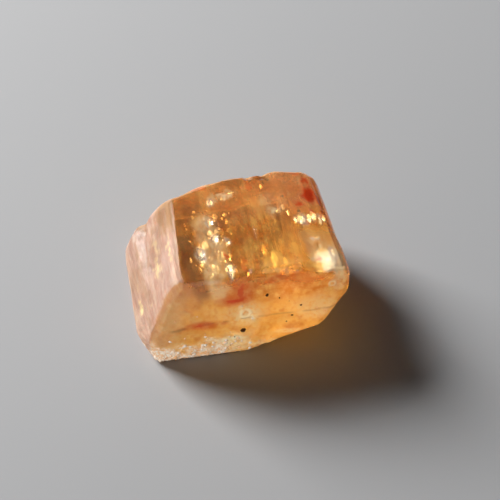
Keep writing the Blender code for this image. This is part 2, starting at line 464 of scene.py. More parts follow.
    def seam(self, spot: Vector) -> float:
        """Say how strongly a point lies on the thin dark line across the front break.

        Args:
            spot: The point.

        Returns:
            A share from 0 to 1.
        """
        middle = 2.27 + 0.27 * ramp(spot.x, -3.8, -1.4) + 0.04 * noise(spot * 2.5)
        across = abs(spot.z - middle) / (0.10 - 0.04 * ramp(spot.x, -3.2, -0.5))
        along = ramp(spot.x, -4.0, -3.6) * (1.0 - 0.55 * ramp(spot.x, -2.8, -0.8))
        broken = ramp(noise(spot * 1.9), -0.35, 0.05)
        return along * broken * (1.0 - ramp(across, 0.4, 1.3)) * ramp(-spot.y, 2.6, 3.1)

    def band(self, spot: Vector) -> float:
        """Say how strongly a point lies in the brown band of painted shade beside the left ridge.

        Args:
            spot: The point.

        Returns:
            A share from 0 to 1.
        """
        # The band stands in for something dark seen through the crystal.
        wander = 0.12 * noise(Vector((0.0, spot.y * 0.8, 2.0)))
        middle = -2.50 + 0.13 * max(-spot.y - 1.5, 0.0) ** 2 + 0.14 * ramp(-spot.z, -4.9, -4.0) + wander
        narrow = 0.44 * (1.0 - 0.15 * ramp(-spot.z, -5.0, -4.0))
        across = abs(spot.x - middle + 0.10 * noise(spot * 2.2)) / narrow
        fade = 0.95 * ramp(spot.z + 0.3 * noise(spot * 1.5), 3.6, 4.6)
        fade *= 1.0 - ramp(spot.y, 0.0, 0.35)
        return (1.0 - ramp(across, 0.45, 1.35)) * fade


@dataclass
class CrystalBody:
    """The topaz crystal itself, in millimetres."""

    height: float = 5.2
    block: float = 14.0
    wear_widths: tuple[float, ...] = (0.42, 0.20)
    smoothings: int = 9
    fixed_below: float = 0.03
    rest_wear_share: float = 0.45
    front_wear_share: float = 0.8
    sharp_angle: float = math.radians(17.0)
    shading_angle: float = math.radians(50.0)
    cut_tolerance: float = 0.0001
    strips: tuple[tuple[Triple, float, float], ...] = (
        ((1.0, 0.0, 0.0), 6.0, 0.22),
        ((0.0, 1.0, 0.0), 4.2, 0.50),
        ((0.0, 0.0, 1.0), 5.6, 0.38),
    )
    clearance: float = 0.02
    refinement: int = 3
    striation_depth: float = 0.034
    weathering_depth: float = 0.05
    ledge_rise: float = 0.09
    left_ledge_rise: float = 0.30
    left_ledge_height: float = 3.1
    grain_depth: float = 0.09
    grain_top: float = 1.3
    end_wave_depth: float = 0.09
    end_rib_depth: float = 0.010
    scoop_depth: float = 0.10
    scoop_radius: float = 0.75
    scoop_centre: Vector = field(default_factory=lambda: Vector((-0.45, -3.36, 2.75)))
    pit_depth: float = 0.11
    faces: tuple[NaturalFace, ...] = (
        NaturalFace("top_prism", 0.0, 90.0, (0.0, 0.0, 5.2)),
        NaturalFace("left_prism", 174.0, 31.0, (-3.38, 0.0, 5.2)),
        NaturalFace("left_lower", 178.0, 21.0, (-4.61, 0.0, 3.1)),
        NaturalFace("left_foot", 163.0, -40.0, (-5.50, 0.30, 1.35)),
        NaturalFace("left_front", 207.0, -8.0, (-5.14, -2.64, 0.4)),
        NaturalFace("right_upper", 1.0, 76.0, (2.55, 0.0, 5.2)),
        NaturalFace("right_edge", 3.5, -8.0, (4.83, 0.0, 4.4)),
        NaturalFace("right_under", -2.0, -36.0, (4.40, 0.0, 2.35)),
        NaturalFace("right_foot", -20.0, -70.0, (2.70, -3.30, 0.80)),
        NaturalFace("front_upper", 267.5, 2.0, (0.30, -3.37, 3.8)),
        NaturalFace("front_lower", 268.0, 12.0, (0.00, -3.43, 2.4)),
        NaturalFace("rear", 90.0, 3.0, (0.00, 3.60, 5.0)),
        NaturalFace("rear_left", 105.0, 27.4, (-2.74, 2.92, 5.05)),
        NaturalFace("rear_left_low", 115.0, 5.0, (-4.70, 2.92, 2.8)),
        NaturalFace("rear_right", 50.0, 6.0, (4.45, 3.22, 4.8)),
        NaturalFace("rest", 0.0, -90.0, (0.0, 0.0, 0.0)),
    )
    marks: SurfaceMarks = field(default_factory=SurfaceMarks)
    pits: tuple[Knob, ...] = (
        (1.95, 3.3, 5.15, 0.34), (1.15, 3.32, 5.15, 0.26), (-4.35, 2.55, 3.05, 0.42),
    )
    ring_rise: float = 0.025
    dent_stretch: float = 0.55
    dent_slope: float = 0.30
    dents: tuple[Knob, ...] = (
        (-0.66, 1.97, 5.14, 0.17), (-0.98, 0.73, 5.13, 0.19), (-0.98, -0.36, 5.13, 0.24),
        (-0.33, -0.73, 5.15, 0.16), (-1.8, -1.18, 5.11, 0.26), (-0.56, -2.5, 5.13, 0.26),
        (0.22, -2.72, 5.13, 0.13), (-1.85, -1.8, 5.1, 0.15), (-1.35, -2.3, 5.1, 0.12),
        (0.95, 2.6, 5.17, 0.14), (1.75, 0.4, 5.19, 0.12), (3.55, 0.08, 5.06, 0.17),
        (3.95, 0.25, 4.97, 0.12), (4.35, 0.15, 4.86, 0.15), (3.95, -1.7, 4.95, 0.13),
        (-4.87, -1.41, 1.9, 0.22), (-4.1, -0.2, 3.4, 0.22),
    )

    def trim(self, mesh: BMesh, point: Vector, outward: Vector) -> None:
        """Cut away what lies outside a plane and close the cut.

        Args:
            mesh: The crystal so far.
            point: A point on the plane.
            outward: The plane's outward direction.
        """
        geometry = mesh.verts[:] + mesh.edges[:] + mesh.faces[:]
        cut = bmesh.ops.bisect_plane(
            mesh, geom=geometry, dist=self.cut_tolerance, plane_co=point, plane_no=outward, clear_outer=True
        )
        rim = [item for item in cut["geom_cut"] if isinstance(item, bmesh.types.BMEdge)]
        if rim:
            bmesh.ops.holes_fill(mesh, edges=rim, sides=0)

    def wear(self, mesh: BMesh) -> None:
        """Round the edges by narrow flats.

        Args:
            mesh: The crystal with its sharp natural edges.
        """
        for width in self.wear_widths:
            mesh.normal_update()
            flats = []
            for edge in mesh.edges:
                angle = edge.calc_face_angle(0.0)
                if angle < self.sharp_angle:
                    continue
                outward = (edge.link_faces[0].normal + edge.link_faces[1].normal).normalized()
                middle = (edge.verts[0].co + edge.verts[1].co) / 2.0
                touches_rest = min(face.normal.z for face in edge.link_faces) < DOWN
                tops_front = middle.y < -2.8 and middle.z > 4.0 and abs(outward.x) < 0.5
                local_width = width * (1.0 + 0.45 * noise(middle * 0.9))
                if touches_rest:
                    local_width *= self.rest_wear_share
                if tops_front:
                    local_width *= self.front_wear_share
                depth = 0.5 * local_width * math.tan(angle / 2.0)
                flats.append((middle - outward * depth, outward))
            for point, outward in flats:
                self.trim(mesh, point, outward)

    def slice_into_strips(self, mesh: BMesh, axis: Vector, reach: float, step: float) -> None:
        """Cut the surface by parallel planes, so that it can take relief.

        Args:
            mesh: The worn crystal.
            axis: The direction across the planes.
            reach: How far the planes go to each side.
            step: The distance between two planes.
        """
        count = int(reach / step)
        for index in range(-count, count + 1):
            faces = [face for face in mesh.faces if face.normal.z > DOWN]
            edges = {edge for face in faces for edge in face.edges}
            verts = {vert for face in faces for vert in face.verts}
            geometry = list(verts) + list(edges) + faces
            place = axis * (index * step)
            bmesh.ops.bisect_plane(mesh, geom=geometry, dist=self.clearance, plane_co=place, plane_no=axis)

    def striations(self, place: Vector, outward: Vector) -> float:
        """Give the grooves that run along the prism.

        Args:
            place: The point.
            outward: The surface's direction there.

        Returns:
            The rise of the surface there.
        """
        depth = 0.6 * stretched_noise(place, 2.6, 0.10, 2.6)
        depth += 0.34 * stretched_noise(place, 5.0, 0.6, 5.0)
        depth += 0.12 * stretched_noise(place, 12.0, 1.6, 12.0)
        return self.striation_depth * depth * (1.0 - ramp(abs(outward.y), 0.25, 0.7))

    def ledges(self, place: Vector, outward: Vector) -> float:
        """Give the growth steps of the top and the left side.

        Args:
            place: The point.
            outward: The surface's direction there.

        Returns:
            The rise of the surface there.
        """
        wander = 0.18 * noise(Vector((place.y * 0.7, 3.1, 0.0)))
        chipped = 0.5 + 0.9 * noise(Vector((place.x * 0.8, place.y * 1.7, 7.0)))
        first = ramp(place.x + wander, -1.25 - 0.4 * chipped, -0.75)
        second = ramp(place.x - 0.28 * place.y + wander, 0.40 - 0.6 * chipped, 1.20)
        top = self.ledge_rise * (0.45 * first + 0.55 * second - 0.3) * ramp(outward.z, 0.85, 0.97)
        low = ramp(self.left_ledge_height - place.z + wander, -0.20, 0.20)
        left_rise = self.left_ledge_rise * ramp(place.y, -3.0, 2.6)
        left = left_rise * low * ramp(-outward.x, 0.55, 0.8)
        return top + left

    def grain(self, place: Vector, outward: Vector) -> float:
        """Give the sugary foot of the front.

        Args:
            place: The point.
            outward: The surface's direction there.

        Returns:
            The rise of the surface there.
        """
        share = ramp(-outward.y, 0.3, 0.7)
        share *= 1.0 - ramp(place.z, 0.6, self.grain_top)
        share *= 1.0 - ramp(place.x, 0.6, 1.8)
        return (self.grain_depth * noise(place * 3.4) + 0.03 * noise(place * 9.0)) * share

    def hollows(self, place: Vector) -> float:
        """Give the shell-shaped scoop and the pits.

        Args:
            place: The point.

        Returns:
            The rise of the surface there.
        """
        away = (place - self.scoop_centre).length / self.scoop_radius
        depth = self.scoop_depth * (1.0 - ramp(away, 0.35, 1.0))
        for x, y, z, radius in self.pits:
            share = (place - Vector((x, y, z))).length / radius + 0.35 * noise(place * 3.1)
            depth += self.pit_depth * (1.0 - ramp(share, 0.3, 1.2))
        for x, y, z, radius in self.dents:
            away = place + SHIFT - Vector((x, y, z))
            share = Vector((away.x, away.y * self.dent_stretch, away.z)).length / radius
            depth += self.dent_slope * radius * (1.0 - ramp(share, 0.1, 1.0))
        ring, _ = self.marks.ring_at(place + SHIFT)
        return self.ring_rise * ring - depth

    def end_break(self, place: Vector, outward: Vector) -> float:
        """Give the uneven break of the two ends.

        Args:
            place: The point.
            outward: The surface's direction there.

        Returns:
            The rise of the surface there.
        """
        share = ramp(abs(outward.y), 0.5, 0.85)
        wave = noise(Vector((place.x * 0.50, 9.0, place.z * 0.8)))
        rib = math.sin(3.4 * (Vector((place.x - 2.5, 0.0, place.z - 6.0)).length))
        rib *= self.end_rib_depth * (1.0 + 2.0 * ramp(outward.y, 0.5, 0.85))
        return share * (self.end_wave_depth * wave + rib)

    def weather(self, mesh: BMesh) -> dict[Zone, list[float]]:
        """Move every point by the natural relief and note its zones.

        Args:
            mesh: The finely cut crystal.

        Returns:
            One value for each zone and point, in the mesh's order.
        """
        mesh.normal_update()
        mesh.verts.ensure_lookup_table()
        zones: dict[Zone, list[float]] = {zone: [] for zone in Zone}
        moved = []
        for vert in mesh.verts:
            place = vert.co.copy()
            outward = vert.normal.copy()
            relief = self.weathering_depth * noise(place * 0.85)
            for form in (self.striations, self.ledges, self.grain, self.end_break):
                relief += form(place, outward)
            relief += self.hollows(place)
            moved.append(place + outward * (relief * ramp(place.z, 0.02, 0.35)))
            for zone, value in self.zones_at(place, outward).items():
                zones[zone].append(value)
        for vert, place in zip(mesh.verts, moved):
            vert.co = place
        return zones

    def ember_at(self, spot: Vector) -> float:
        """Say how deep orange the front break is at a point.

        Args:
            spot: The point.

        Returns:
            A share from 0 to 1.
        """
        drift = 0.9 * noise(spot * 0.9) + 0.5 * noise(spot * 2.4)
        upper = ramp(spot.z + 0.5 * drift, 2.9, 3.9) * ramp(spot.x + drift, -1.8, 0.2)
        speckle = 0.6 * ramp(noise(spot * 4.2), 0.12, 0.42)
        deep = self.marks.cover(spot, self.marks.embers)
        return max(upper, 0.7 * ramp(drift, 0.0, 0.45), speckle, deep)

    def beside_left(self, spot: Vector, outward: Vector) -> float:
        """Say how far the frosted look of the left side reaches over its edges.

        Args:
            spot: The point.
            outward: The surface's direction there.

        Returns:
            A share from 0 to 1.
        """
        wander = 0.25 * noise(spot * 1.7)
        edge = -2.75 - 0.45 * (4.9 - spot.z)
        front = (1.0 - ramp(spot.x + 2.0 * wander - edge, -0.30, 1.30)) * ramp(-outward.y, 0.3, 0.8)
        top = (1.0 - ramp(spot.x + 0.5 * wander + 3.1, -0.10, 0.25)) * ramp(outward.z, 0.6, 0.9)
        return max(0.32 * front, 0.9 * top)

    def break_at(self, spot: Vector, outward: Vector, drift: float) -> float:
        """Say how strongly a point has the hazy look of the broken ends.

        Args:
            spot: The point.
            outward: The surface's direction there.
            drift: A slow change from place to place.

        Returns:
            A share from 0 to 1.
        """
        front = ramp(-outward.y + 0.15 * noise(spot * 1.3), 0.45, 0.98)
        front *= 1.0 - 0.85 * ramp(spot.z + 1.2 * drift, 3.8, 4.8)
        above = ramp(outward.z, 0.3, 0.8)
        beside = 0.35 * above * ramp(-spot.y + 0.8 * drift, 1.9, 3.1) * ramp(spot.x, -0.8, 0.6)
        corner = 0.75 * above * ramp(spot.x + drift, 2.7, 3.6) * ramp(-spot.y + drift, 0.0, 0.9)
        return max(front, beside, corner, ramp(outward.y, 0.3, 0.9))

    def wear_at(self, outward: Vector) -> float:
        """Say how far a direction is turned away from all the natural faces, as on a worn edge."""
        nearest = max(outward.dot(direction(face.compass, face.lift)) for face in self.faces)
        return ramp(math.degrees(math.acos(min(nearest, 1.0))), 2.0, 24.0)

    def zones_at(self, place: Vector, outward: Vector) -> dict[Zone, float]:
        """Say how strongly a point belongs to each zone.

        Args:
            place: The point.
            outward: The surface's direction there.

        Returns:
            A share from 0 to 1 for each zone.
        """
        spot = place + SHIFT
        drift = 0.5 * noise(place * 0.7)
        left = ramp(-outward.x - 0.06 * noise(place * 1.6), 0.07, 0.34)
        left *= 1.0 - 0.55 * ramp(-outward.y + 0.2 * noise(place * 1.1), 0.30, 0.65)
        left = max(left, self.beside_left(spot, outward))
        under = ramp(-outward.z, 0.15, 0.45) * (1.0 - ramp(-outward.z, 0.94, 0.98))
        front = ramp(-outward.y + 0.15 * noise(place * 1.3), 0.45, 0.98)
        foot = ramp(-outward.y, 0.2, 0.6)
        foot *= 1.0 - ramp(place.z + 0.7 * noise(place * 1.9), 0.25, 1.55)
        foot *= (1.0 - 0.75 * ramp(place.x, -1.9, -0.8)) * (1.0 - ramp(place.x, -0.2, 1.6))
        # Golden towards the right front: partly tone, partly painted light leaving the crystal by its right
        # side.
        gold = ramp(spot.x - 0.75 * spot.y + 2.0 * drift, -0.6, 4.0)
        # Painted reflection, pinkish towards the right rear.
        rose = ramp(spot.y + drift, -0.2, 1.2) * (0.35 + 0.65 * ramp(spot.x + drift, 1.2, 3.4))
        marks = self.marks
        ring, inside = marks.ring_at(spot)
        # Darker brown: painted shade in the band beside the left ridge, with darker patches and the dark
        # line of the front.
        shade = max(marks.cover(spot, marks.shades), marks.band(spot), marks.seam(spot)) * (1.0 - left)
        shade = max(shade, marks.cover(spot, marks.left_dark_patches) * left)
        # Painted glow on the top and the front, and pale flecks, some of them painted glints, on the
        # frosted left side.
        veil = max(marks.cover(spot, marks.painted_glows) * (1.0 - left), marks.cover(spot, marks.pale_flecks_and_glints) * left)
        return {
            Zone.FROST: left,
            Zone.SUGAR: foot,
            Zone.BREAK: self.break_at(spot, outward, drift),
            Zone.EMBER: front * max(self.ember_at(spot), 0.8 * inside),
            Zone.STAIN: marks.cover(spot, marks.stains),
            Zone.SHADE: shade,
            # More golden along the band of glittering cracks: painted glitter light.
            Zone.GOLD_AND_PAINTED_LIGHT: min(gold + 0.35 * ramp(0.9 - abs(spot.x + 1.1) + drift, 0.0, 0.8), 1.0),
            Zone.PAINTED_REFLECTION: rose,
            Zone.PAINTED_GLOW_AND_FLECKS: veil,
            Zone.WEAR: max(self.wear_at(outward) * (0.10 + 0.90 * ramp(-outward.x, 0.05, 0.30)), under),
            # Painted highlights, and the pale line of each ring crack.
            Zone.PAINTED_HIGHLIGHT_AND_RING: max(marks.cover(spot, marks.painted_highlights), 0.6 * ring) * (1.0 - left),
            Zone.PANE: marks.cover(spot, marks.panes),
        }

    def build(self) -> bpy.types.Object:
        """Make the crystal's mesh in metres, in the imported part's place.

        Returns:
            The crystal, not yet dressed.
        """
        mesh = bmesh.new()
        bmesh.ops.create_cube(mesh, size=self.block)
        bmesh.ops.translate(mesh, vec=Vector((0.0, 0.0, self.height / 2.0)), verts=mesh.verts[:])
        for face in self.faces:
            self.trim(mesh, Vector(face.point), direction(face.compass, face.lift))
            LOG.debug("%s: %d faces so far", face.name, len(mesh.faces))
        bmesh.ops.recalc_face_normals(mesh, faces=mesh.faces[:])
        self.wear(mesh)
        for axis, reach, step in self.strips:
            self.slice_into_strips(mesh, Vector(axis), reach, step)
        bmesh.ops.triangulate(mesh, faces=mesh.faces[:])
        upper = [edge for edge in mesh.edges if max(face.normal.z for face in edge.link_faces) > DOWN]
        bmesh.ops.subdivide_edges(mesh, edges=upper, cuts=self.refinement, use_grid_fill=True)
        bmesh.ops.triangulate(mesh, faces=mesh.faces[:])
        loose = [vert for vert in mesh.verts if vert.co.z > self.fixed_below]
        for _ in range(self.smoothings):
            bmesh.ops.smooth_vert(
                mesh, verts=loose, factor=0.5, use_axis_x=True, use_axis_y=True, use_axis_z=True
            )
        zones = self.weather(mesh)
        bmesh.ops.translate(mesh, vec=SHIFT, verts=mesh.verts[:])
        bmesh.ops.scale(mesh, vec=Vector((MM, MM, MM)), verts=mesh.verts[:])
        data = mesh_data(mesh, "crystal_body")
        for zone, values in zones.items():
            layer = data.attributes.new(zone.value, "FLOAT", "POINT")
            layer.data.foreach_set("value", values)
        data.shade_smooth()
        data.set_sharp_from_angle(angle=self.shading_angle)
        return put_in_scene("crystal_body", data)

    def dress(self) -> bpy.types.Object:
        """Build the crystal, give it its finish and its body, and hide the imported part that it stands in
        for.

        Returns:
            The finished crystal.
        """
        crystal = self.build()
        crystal.data.materials.append(TopazFinish().material())
        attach(crystal, "root")
        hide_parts(NODE)
        return crystal


@dataclass(frozen=True)
class TopazFinish:
    """Clear amber topaz with frosted, sugary, broken and stained zones, and painted highlights, glow,
    reflection and shade.
    """

    absorption: Rgba = (0.97, 0.82, 0.40, 1.0)
    density: float = 220.0
    brown_tint: Rgba = (0.78, 0.31, 0.050, 1.0)
    # The golden end, partly painted light where light leaves the crystal by its right side.
    gold_tint: Rgba = (1.0, 0.60, 0.13, 1.0)
    # The tint of the painted reflection.
    painted_reflection_tint: Rgba = (0.96, 0.50, 0.19, 1.0)
    break_pale: Rgba = (1.0, 0.67, 0.21, 1.0)
    break_tint: Rgba = (0.96, 0.52, 0.10, 1.0)
    break_share: float = 0.7
    ember_tint: Rgba = (0.78, 0.25, 0.015, 1.0)
    frost_tint: Rgba = (0.66, 0.45, 0.35, 1.0)
    frost_cream: Rgba = (0.78, 0.57, 0.41, 1.0)
    frost_dark: Rgba = (0.56, 0.30, 0.20, 1.0)
    sugar_tint: Rgba = (1.0, 0.90, 0.74, 1.0)
    sugar_dark: Rgba = (0.88, 0.48, 0.22, 1.0)
    stain_tint: Rgba = (0.60, 0.045, 0.006, 1.0)
    # The tint of the painted shade and of the darker patches and lines.
    shade_tint: Rgba = (0.40, 0.20, 0.06, 1.0)
    # The tint of the painted glow and of the pale flecks.
    painted_glow_and_fleck_tint: Rgba = (1.0, 0.80, 0.40, 1.0)
    # The tint of the painted highlights and of the ring cracks' pale lines.
    painted_highlight_and_ring_tint: Rgba = (1.0, 0.88, 0.58, 1.0)
    pane_tint: Rgba = (1.0, 0.95, 0.80, 1.0)
    clear_most: float = 0.82
    clear_least: float = 0.60
    clear_limits: tuple[float, float] = (0.15, 0.98)
    hazes: tuple[tuple[Zone, float], ...] = (
        (Zone.FROST, 0.25),
        (Zone.SUGAR, 0.62),
        (Zone.STAIN, 0.32),
        (Zone.PAINTED_GLOW_AND_FLECKS, 0.06),
        (Zone.PAINTED_HIGHLIGHT_AND_RING, 0.36),
        (Zone.BREAK, 0.20),
        (Zone.WEAR, 0.20),
    )
    pane_gain: float = 0.20
    smooth_least: float = 0.05
    smooth_most: float = 0.17
    rough_zones: tuple[tuple[Zone, float], ...] = (
        (Zone.BREAK, 0.46),
        (Zone.FROST, 0.42),
        (Zone.SUGAR, 0.20),
        (Zone.WEAR, 0.30),
        (Zone.PAINTED_GLOW_AND_FLECKS, 0.06),
    )
    pane_polish: float = 0.70
    roughest: float = 0.78
    groove_height: float = 0.32
    frost_height: float = 1.1
    sugar_height: float = 3.0

    def colour(self, wiring: Wiring) -> Socket:
        """Mix the tints of the zones.

        Args:
            wiring: The nodes.

        Returns:
            The colour's socket.
        """
        streak = wiring.span(wiring.noise((4.5, 0.5, 4.5), 4.0, 0.6), 0.35, 0.65, -0.35, 0.35)
        blotch = wiring.span(wiring.noise((1.5, 1.1, 1.5), 4.0, 0.6), 0.36, 0.64, -0.45, 0.45)
        # Brown to golden: the golden share is partly the crystal's tone and partly painted light, with
        # random streaks and blotches.
        tone = wiring.maths("ADD", wiring.zone(Zone.GOLD_AND_PAINTED_LIGHT), wiring.maths("ADD", streak, blotch))
        tint = wiring.blend(wiring.span(tone, 0.0, 1.0), self.brown_tint, self.gold_tint)
        patchy = wiring.span(wiring.noise((1.7, 1.7, 1.7), 5.0, 0.68), 0.44, 0.60)
        mottle = wiring.span(wiring.noise((3.0, 3.0, 3.0), 5.0, 0.65), 0.36, 0.60)
        ridge = wiring.span(wiring.noise((6.0, 0.5, 4.0), 4.0, 0.65), 0.38, 0.66)
        cloud = wiring.span(wiring.noise((1.4, 0.7, 1.2), 4.0, 0.6), 0.38, 0.60)
        frost = wiring.blend(ridge, wiring.blend(cloud, self.frost_tint, self.frost_cream), self.frost_dark)
        broken = wiring.span(wiring.noise((5.0, 3.0, 5.0), 3.0), 0.35, 0.52, 0.25, 1.0)
        clump = wiring.span(wiring.noise((4.5, 4.5, 4.5), 4.0, 0.65), 0.44, 0.56)
        ends = wiring.blend(patchy, self.break_tint, self.break_pale)
        for share, coat in (
            # Painted reflection: a pinkish tint towards the right rear.
            (wiring.zone(Zone.PAINTED_REFLECTION), self.painted_reflection_tint),
            (wiring.zone(Zone.BREAK, self.break_share), ends),
            (wiring.zone(Zone.EMBER, mottle), self.ember_tint),
            (wiring.zone(Zone.FROST), frost),
            # Painted glow and pale flecks: a paler tint.
            (wiring.zone(Zone.PAINTED_GLOW_AND_FLECKS, broken), self.painted_glow_and_fleck_tint),
            (wiring.zone(Zone.PANE), self.pane_tint),
            # Painted highlights and the ring cracks' pale lines: a pale, hazy tint.
            (wiring.zone(Zone.PAINTED_HIGHLIGHT_AND_RING), self.painted_highlight_and_ring_tint),
            (wiring.zone(Zone.SUGAR), wiring.blend(clump, self.sugar_dark, self.sugar_tint)),
            # Painted shade, and darker patches and lines: a dark brown tint.
            (wiring.zone(Zone.SHADE), self.shade_tint),
            (wiring.zone(Zone.STAIN), self.stain_tint),
        ):
            tint = wiring.blend(share, tint, coat)
        return tint

    def clearness(self, wiring: Wiring) -> Socket:
        """Say how much light goes through at each point.

        Args:
            wiring: The nodes.

        Returns:
            The transmission's socket.
        """
        cloud = wiring.noise((1.6, 0.8, 1.6), 4.0, 0.6)
        value = wiring.span(cloud, 0.35, 0.65, self.clear_most, self.clear_least)
        for zone, haze in self.hazes:
            value = wiring.maths("SUBTRACT", value, wiring.zone(zone, haze))
        value = wiring.maths("ADD", value, wiring.zone(Zone.PANE, self.pane_gain))
        return wiring.span(value, *self.clear_limits, *self.clear_limits)

    def roughness(self, wiring: Wiring) -> Socket:
        """Say how rough each point is.

        Args:
            wiring: The nodes.

        Returns:
            The roughness's socket.
        """
        patch = wiring.noise((2.2, 1.4, 2.2), 4.0, 0.6)
        value = wiring.span(patch, 0.35, 0.68, self.smooth_least, self.smooth_most)
        for zone, rough in self.rough_zones:
            value = wiring.maths("ADD", value, wiring.zone(zone, rough))
        polish = wiring.span(wiring.zone(Zone.PANE), 0.0, 1.0, 1.0, self.pane_polish)
        return wiring.maths("MINIMUM", wiring.maths("MULTIPLY", value, polish), self.roughest)

    def bump(self, wiring: Wiring) -> Socket:
        """Roughen the surface with hair-fine grooves, scratches and sugar.

        Args:
            wiring: The nodes.

        Returns:
            The normal's socket.
        """
        height = wiring.maths("MULTIPLY", wiring.noise((22.0, 0.9, 22.0), 3.0), self.groove_height)
        grit = wiring.noise((9.0, 9.0, 9.0), 5.0, 0.65)
        for zone, rise in ((Zone.FROST, self.frost_height), (Zone.SUGAR, self.sugar_height)):
            rough = wiring.maths("MULTIPLY", wiring.maths("MULTIPLY", grit, wiring.zone(zone)), rise)
            height = wiring.maths("ADD", height, rough)
        node = wiring.add("ShaderNodeBump", {"Strength": 0.6, "Distance": 0.03 * MM, "Height": height})
        return node.outputs["Normal"]

    def material(self) -> bpy.types.Material:
        """Make the crystal's material.

        Returns:
            The new material.
        """
        wiring = Wiring.start("amber_topaz")
        body = wiring.add("ShaderNodeVolumeAbsorption", {"Color": self.absorption, "Density": self.density})
        output = wiring.material.node_tree.nodes["Material Output"]
        wiring.feed(output.inputs["Volume"], body.outputs["Volume"])
        look = {"IOR": INDEX, "Base Color": self.colour(wiring), "Roughness": self.roughness(wiring)}
        look.update({"Transmission Weight": self.clearness(wiring), "Normal": self.bump(wiring)})
        return wiring.finish(look)


@dataclass(frozen=True)
class GlintFinish:
    """The bright air film of an inner crack."""

    colour: Rgba = (1.0, 0.92, 0.76, 1.0)
    dull: Rgba = (1.0, 0.82, 0.55, 1.0)
    smooth: float = 0.22
    rough: float = 0.42

    def material(self) -> bpy.types.Material:
        """Make the finish of a crack.

        Returns:
            The new material.
        """
        wiring = Wiring.start("crack_film")
        mottle = wiring.span(wiring.noise((7.0, 4.0, 7.0), 3.0), 0.35, 0.65)
        colour = wiring.blend(mottle, self.colour, self.dull)
        roughness = wiring.span(mottle, 0.0, 1.0, self.smooth, self.rough)
        return wiring.finish({"Base Color": colour, "Roughness": roughness, "Metallic": 1.0})


@dataclass(frozen=True)
class SugarFinish:
    """Pale frosted grains, pink to cream."""

    pale: Rgba = (1.0, 0.93, 0.82, 1.0)
    warm: Rgba = (0.97, 0.55, 0.26, 1.0)
    smooth: float = 0.15
    rough: float = 0.45
    clearness: float = 0.10

    def material(self) -> bpy.types.Material:
        """Make the grains' material.

        Returns:
            The new material.
        """
        wiring = Wiring.start("sugar_grain")
        mottle = wiring.span(wiring.noise((3.5, 3.5, 3.5), 3.0), 0.38, 0.62)
        colour = wiring.blend(mottle, self.pale, self.warm)
        roughness = wiring.span(wiring.noise((8.0, 8.0, 8.0)), 0.3, 0.7, self.smooth, self.rough)
        look = {"Base Color": colour, "Roughness": roughness}
        return wiring.finish(look | {"IOR": INDEX, "Transmission Weight": self.clearness})


@dataclass(frozen=True)
class GrainFinish:
    """A dark brown mineral grain."""

    colour: Rgba = (0.11, 0.040, 0.014, 1.0)
    lighter: Rgba = (0.20, 0.07, 0.02, 1.0)
    roughness: float = 0.55

    def material(self) -> bpy.types.Material:
        """Make the grain's material.

        Returns:
            The new material.
        """
        wiring = Wiring.start("dark_grain")
        mottle = wiring.span(wiring.noise((14.0, 14.0, 14.0), 3.0), 0.35, 0.7)
        colour = wiring.blend(mottle, self.colour, self.lighter)
        return wiring.finish({"Base Color": colour, "Roughness": self.roughness})


def finish_piece(mesh: BMesh, name: str, material: bpy.types.Material) -> bpy.types.Object:
    """Turn a mesh in millimetres into a finished piece that goes with the crystal.

    Args:
        mesh: The piece's mesh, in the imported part's place. It is freed.
        name: The piece's name.
        material: Its finish.

    Returns:
        The piece.
    """
    bmesh.ops.scale(mesh, vec=Vector((MM, MM, MM)), verts=mesh.verts[:])
    data = mesh_data(mesh, name)
    data.shade_smooth()
    data.materials.append(material)
    piece = put_in_scene(name, data)
    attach(piece, "root")
    LOG.info("%s: %d faces", name, len(data.polygons))
    return piece


